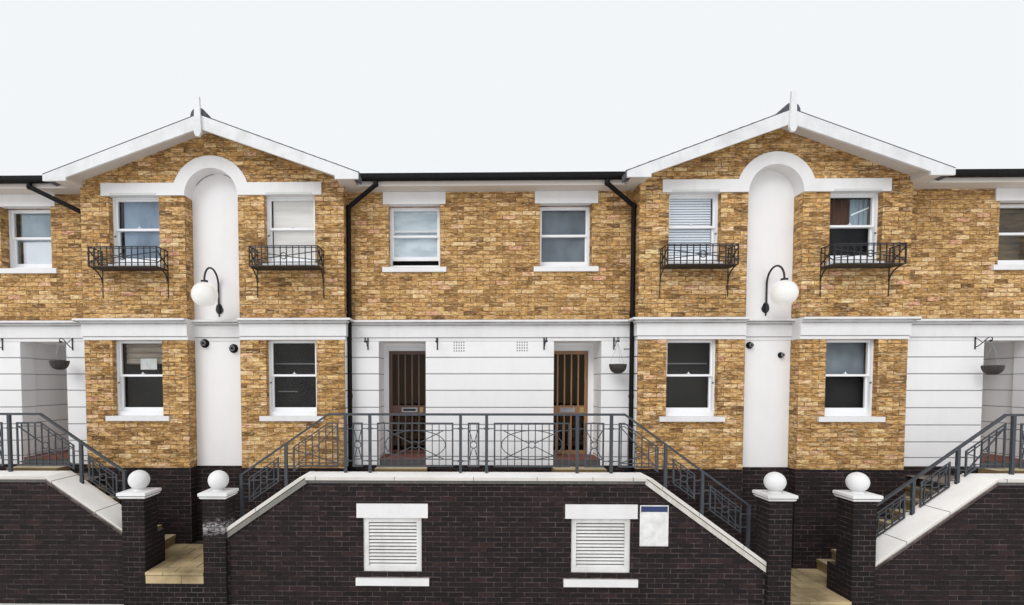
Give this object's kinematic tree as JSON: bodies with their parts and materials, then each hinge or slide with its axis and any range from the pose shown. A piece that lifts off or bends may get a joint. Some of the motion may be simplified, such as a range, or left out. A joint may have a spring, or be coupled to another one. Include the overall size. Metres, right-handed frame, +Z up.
{
  "type": "terraced house row",
  "caption": "Row of joined brick and render houses with gabled bays, a moulded cornice, porches, a raised entrance platform, railed steps and ball-topped gate pillars.",
  "frame": {"origin": "foot of the dark brick base, on the line of the recessed street face, between the two middle houses; level of the lowest ground", "axes": "+X along the row, to the right as seen from the street; +Y from the street into the houses; +Z up"},
  "size_m": [19.94, 10.055, 8.4658],
  "materials": {
    "dark_brick": "hard near-black engineering brick with pale joints",
    "yellow_brick": "yellow-brown stock brick, some bricks pinkish or dark",
    "white_render": "smooth painted render, slightly weathered",
    "floor_slab": "plain screed",
    "white_joinery": "white paint",
    "window_glass": "clear glass, dark behind",
    "dark_mahogany": "dark red-brown stain",
    "red_mahogany": "red-brown varnish",
    "door_glass": "obscured glass",
    "slate": "grey roof tiles",
    "black_plastic": "black",
    "black_iron": "black paint",
    "opal_glass": "opal white",
    "paving": "grey paving",
    "sandstone": "buff sandstone",
    "pale_stone": "pale cast stone, stained",
    "grey_iron": "slate-grey paint",
    "white_louvre": "white paint"
  },
  "bodies": {
    "houses": {"plinth": "dark_brick", "cross_walls": "yellow_brick", "rear_wall": "yellow_brick", "gable_walls": "yellow_brick", "gable_heads": "yellow_brick", "recess_walls": "yellow_brick", "rendered_piers": "white_render", "rendered_heads": "white_render", "porch_linings": "white_render", "floors": "floor_slab", "cornice": "white_render", "arch_bands": "white_render", "niche_panels": "white_render", "lintels": "white_render", "sills": "white_render", "window_frames": "white_joinery", "sashes": "white_joinery", "glazing": "window_glass", "door_frames": "white_joinery", "outer_doors": "dark_mahogany", "roof_front": "slate", "roof_rear": "slate", "cross_roofs": "slate", "ridges": "slate", "eaves": "white_joinery", "barge_boards": "white_joinery", "gutters": "black_plastic", "downpipes": "black_plastic", "balconettes": "black_iron", "lamp_arms": "black_iron", "lamp_globes": "opal_glass", "platforms": "paving", "stair_bases": "dark_brick", "steps_of_stone": "sandstone", "street_walls": "dark_brick", "copings": "pale_stone", "pillars": "dark_brick", "pillar_caps": "pale_stone", "railings": "grey_iron", "balustrade_panels": "grey_iron", "louvre_vents": "white_louvre"},
    "left_door": {"door_left": "dark_mahogany", "door_left_glass": "door_glass"},
    "right_door": {"door_right": "red_mahogany", "door_right_glass": "door_glass"}
  },
  "joints": [
    {"name": "left_door_hinge", "type": "hinge", "parent": "houses", "child": "left_door", "pos_m": [-1.861, 0.629, 2.975], "axis": [0, 0, 1], "range_deg": [0, 90]},
    {"name": "right_door_hinge", "type": "hinge", "parent": "houses", "child": "right_door", "pos_m": [1.111, 0.629, 2.975], "axis": [0, 0, 1], "range_deg": [0, 90]}
  ]
}
